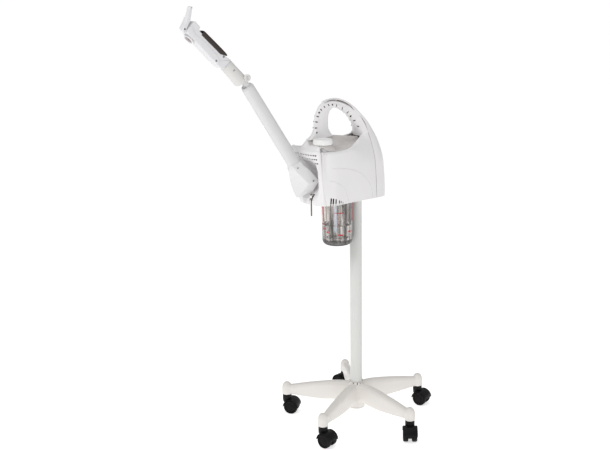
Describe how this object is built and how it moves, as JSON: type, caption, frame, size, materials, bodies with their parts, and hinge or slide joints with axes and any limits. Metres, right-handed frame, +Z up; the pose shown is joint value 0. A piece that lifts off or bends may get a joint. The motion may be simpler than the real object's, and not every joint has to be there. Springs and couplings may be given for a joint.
{
  "type": "facial steamer",
  "caption": "Salon facial steamer: vented boiler head with carrying handle and glass water jar on a pole with castered star base, jointed steam arm and swivelling nozzle.",
  "frame": {"origin": "centre of the whole steamer's box on the floor", "axes": "+Z up along the pole, the front of the head and the steam arm face -Y, the filler cap is on the +X side"},
  "size_m": [0.5658, 0.9114, 1.4324],
  "materials": {
    "arm_base_far": "satin",
    "arm_base_near": "satin",
    "arm_hose": "matte",
    "arm_pivot": "satin",
    "arm_shell_far": "satin",
    "arm_shell_near": "satin",
    "back_plate": "satin",
    "bottom_plate": "satin",
    "caster_hood_1": "satin",
    "caster_hood_2": "satin",
    "caster_hood_3": "satin",
    "caster_hood_4": "satin",
    "caster_hood_5": "satin",
    "caster_wheels_1": "satin",
    "caster_wheels_2": "satin",
    "caster_wheels_3": "satin",
    "caster_wheels_4": "satin",
    "caster_wheels_5": "satin",
    "chamber_lid": "satin",
    "control_board": "matte",
    "drip_nut": "polished",
    "drip_tube": "satin",
    "elbow_far": "satin",
    "elbow_knob": "satin",
    "elbow_near": "satin",
    "end_lever": "satin",
    "fill_cap": "satin",
    "filler_neck": "satin",
    "front_body": "satin",
    "glass_jar": "clear",
    "handle": "satin",
    "heater_coil": "polished",
    "hub_plug": "matte",
    "jar_gasket": "matte",
    "jar_holder": "satin",
    "level_probe": "polished",
    "nozzle_far": "satin",
    "nozzle_near": "satin",
    "outlet_mesh": "satin",
    "outlet_ring": "satin",
    "pole": "satin",
    "pole_collar": "satin",
    "pole_socket": "satin",
    "power_inlet": "matte",
    "rear_cover": "satin",
    "side_shell_far": "satin",
    "side_shell_near": "satin",
    "smoked_panel": "gloss",
    "star_base": "satin",
    "steam_duct": "matte",
    "steam_tube": "translucent",
    "switch_ozone": "gloss",
    "switch_power": "gloss",
    "top_deck": "satin",
    "transformer": "matte",
    "uv_lamp": "clear"
  },
  "bodies": {
    "stand": {"star_base": "star_base", "hub_plug": "hub_plug", "pole": "pole", "pole_collar": "pole_collar"},
    "head": {"side_shell_near": "side_shell_near", "side_shell_far": "side_shell_far", "front_body": "front_body", "top_deck": "top_deck", "handle": "handle", "rear_cover": "rear_cover", "bottom_plate": "bottom_plate", "chamber_lid": "chamber_lid", "jar_holder": "jar_holder", "filler_neck": "filler_neck", "pole_socket": "pole_socket", "jar_gasket": "jar_gasket", "heater_coil": "heater_coil", "level_probe": "level_probe", "steam_tube": "steam_tube", "transformer": "transformer", "control_board": "control_board", "uv_lamp": "uv_lamp", "steam_duct": "steam_duct", "power_inlet": "power_inlet", "drip_tube": "drip_tube", "drip_nut": "drip_nut"},
    "jar": {"glass_jar": "glass_jar"},
    "cap": {"fill_cap": "fill_cap"},
    "arm": {"arm_base_near": "arm_base_near", "arm_base_far": "arm_base_far", "arm_shell_near": "arm_shell_near", "arm_shell_far": "arm_shell_far", "arm_pivot": "arm_pivot", "arm_hose": "arm_hose"},
    "elbow": {"elbow_near": "elbow_near", "elbow_far": "elbow_far", "elbow_knob": "elbow_knob"},
    "nozzle": {"nozzle_near": "nozzle_near", "nozzle_far": "nozzle_far", "outlet_ring": "outlet_ring", "outlet_mesh": "outlet_mesh", "back_plate": "back_plate"},
    "lever": {"end_lever": "end_lever"},
    "panel": {"smoked_panel": "smoked_panel"},
    "power_rocker": {"switch_power": "switch_power"},
    "ozone_rocker": {"switch_ozone": "switch_ozone"},
    "caster_1": {"caster_hood_1": "caster_hood_1"},
    "wheels_1": {"caster_wheels_1": "caster_wheels_1"},
    "caster_2": {"caster_hood_2": "caster_hood_2"},
    "wheels_2": {"caster_wheels_2": "caster_wheels_2"},
    "caster_3": {"caster_hood_3": "caster_hood_3"},
    "wheels_3": {"caster_wheels_3": "caster_wheels_3"},
    "caster_4": {"caster_hood_4": "caster_hood_4"},
    "wheels_4": {"caster_wheels_4": "caster_wheels_4"},
    "caster_5": {"caster_hood_5": "caster_hood_5"},
    "wheels_5": {"caster_wheels_5": "caster_wheels_5"}
  },
  "joints": [
    {"name": "head_swivel", "type": "hinge", "parent": "stand", "child": "head", "pos_m": [-0.01455, 0.17165, 0.83], "axis": [0, 0, 1], "range_deg": [-170, 170]},
    {"name": "jar_lower", "type": "slide", "parent": "head", "child": "jar", "axis": [0, 0, -1], "range_m": [0, 0.25]},
    {"name": "cap_lift", "type": "slide", "parent": "head", "child": "cap", "axis": [0, 0, 1], "range_m": [0, 0.05]},
    {"name": "arm_tilt", "type": "hinge", "parent": "head", "child": "arm", "pos_m": [-0.01455, -0.05035, 0.905], "axis": [1, 0, 0], "range_deg": [-3, 28]},
    {"name": "elbow_tilt", "type": "hinge", "parent": "arm", "child": "elbow", "pos_m": [-0.01455, -0.25701, 1.22589], "axis": [1, 0, 0], "range_deg": [-10, 16]},
    {"name": "nozzle_turn", "type": "hinge", "parent": "elbow", "child": "nozzle", "pos_m": [-0.01455, -0.31635, 1.269], "axis": [0, -0.682, 0.7314], "range_deg": [-60, 60]},
    {"name": "lever_swing", "type": "hinge", "parent": "nozzle", "child": "lever", "pos_m": [-0.01455, -0.44974, 1.37979], "axis": [1, 0, 0], "range_deg": [0, 25]},
    {"name": "panel_open", "type": "hinge", "parent": "nozzle", "child": "panel", "pos_m": [-0.01455, -0.31766, 1.29239], "axis": [1, 0, 0], "range_deg": [-80, 0]},
    {"name": "power_rock", "type": "hinge", "parent": "head", "child": "power_rocker", "pos_m": [-0.00255, 0.25765, 0.862], "axis": [1, 0, 0], "range_deg": [-6, 6], "stiffness_Nm_per_rad": 0.3},
    {"name": "ozone_rock", "type": "hinge", "parent": "head", "child": "ozone_rocker", "pos_m": [0.01345, 0.25765, 0.862], "axis": [1, 0, 0], "range_deg": [-6, 6], "stiffness_Nm_per_rad": 0.3},
    {"name": "caster_1_swivel", "type": "hinge", "parent": "stand", "child": "caster_1", "pos_m": [-0.19529, -0.00107, 0.08], "axis": [0, 0, 1], "continuous": true},
    {"name": "wheels_1_spin", "type": "hinge", "parent": "caster_1", "child": "wheels_1", "pos_m": [-0.18227, 0.00986, 0.025], "axis": [-0.6428, 0.766, 0], "continuous": true},
    {"name": "caster_2_swivel", "type": "hinge", "parent": "stand", "child": "caster_2", "pos_m": [0.09387, -0.05362, 0.08], "axis": [0, 0, 1], "continuous": true},
    {"name": "wheels_2_spin", "type": "hinge", "parent": "caster_2", "child": "wheels_2", "pos_m": [0.11029, -0.04922, 0.025], "axis": [-0.2588, 0.9659, 0], "continuous": true},
    {"name": "caster_3_swivel", "type": "hinge", "parent": "stand", "child": "caster_3", "pos_m": [0.2332, 0.20515, 0.08], "axis": [0, 0, 1], "continuous": true},
    {"name": "wheels_3_spin", "type": "hinge", "parent": "caster_3", "child": "wheels_3", "pos_m": [0.24659, 0.19468, 0.025], "axis": [0.6157, 0.788, 0], "continuous": true},
    {"name": "caster_4_swivel", "type": "hinge", "parent": "stand", "child": "caster_4", "pos_m": [0.03015, 0.41762, 0.08], "axis": [0, 0, 1], "continuous": true},
    {"name": "wheels_4_spin", "type": "hinge", "parent": "caster_4", "child": "wheels_4", "pos_m": [0.04612, 0.42344, 0.025], "axis": [-0.342, 0.9397, 0], "continuous": true},
    {"name": "caster_5_swivel", "type": "hinge", "parent": "stand", "child": "caster_5", "pos_m": [-0.23467, 0.29017, 0.08], "axis": [0, 0, 1], "continuous": true},
    {"name": "wheels_5_spin", "type": "hinge", "parent": "caster_5", "child": "wheels_5", "pos_m": [-0.25141, 0.28722, 0.025], "axis": [0.1736, -0.9848, 0], "continuous": true}
  ]
}
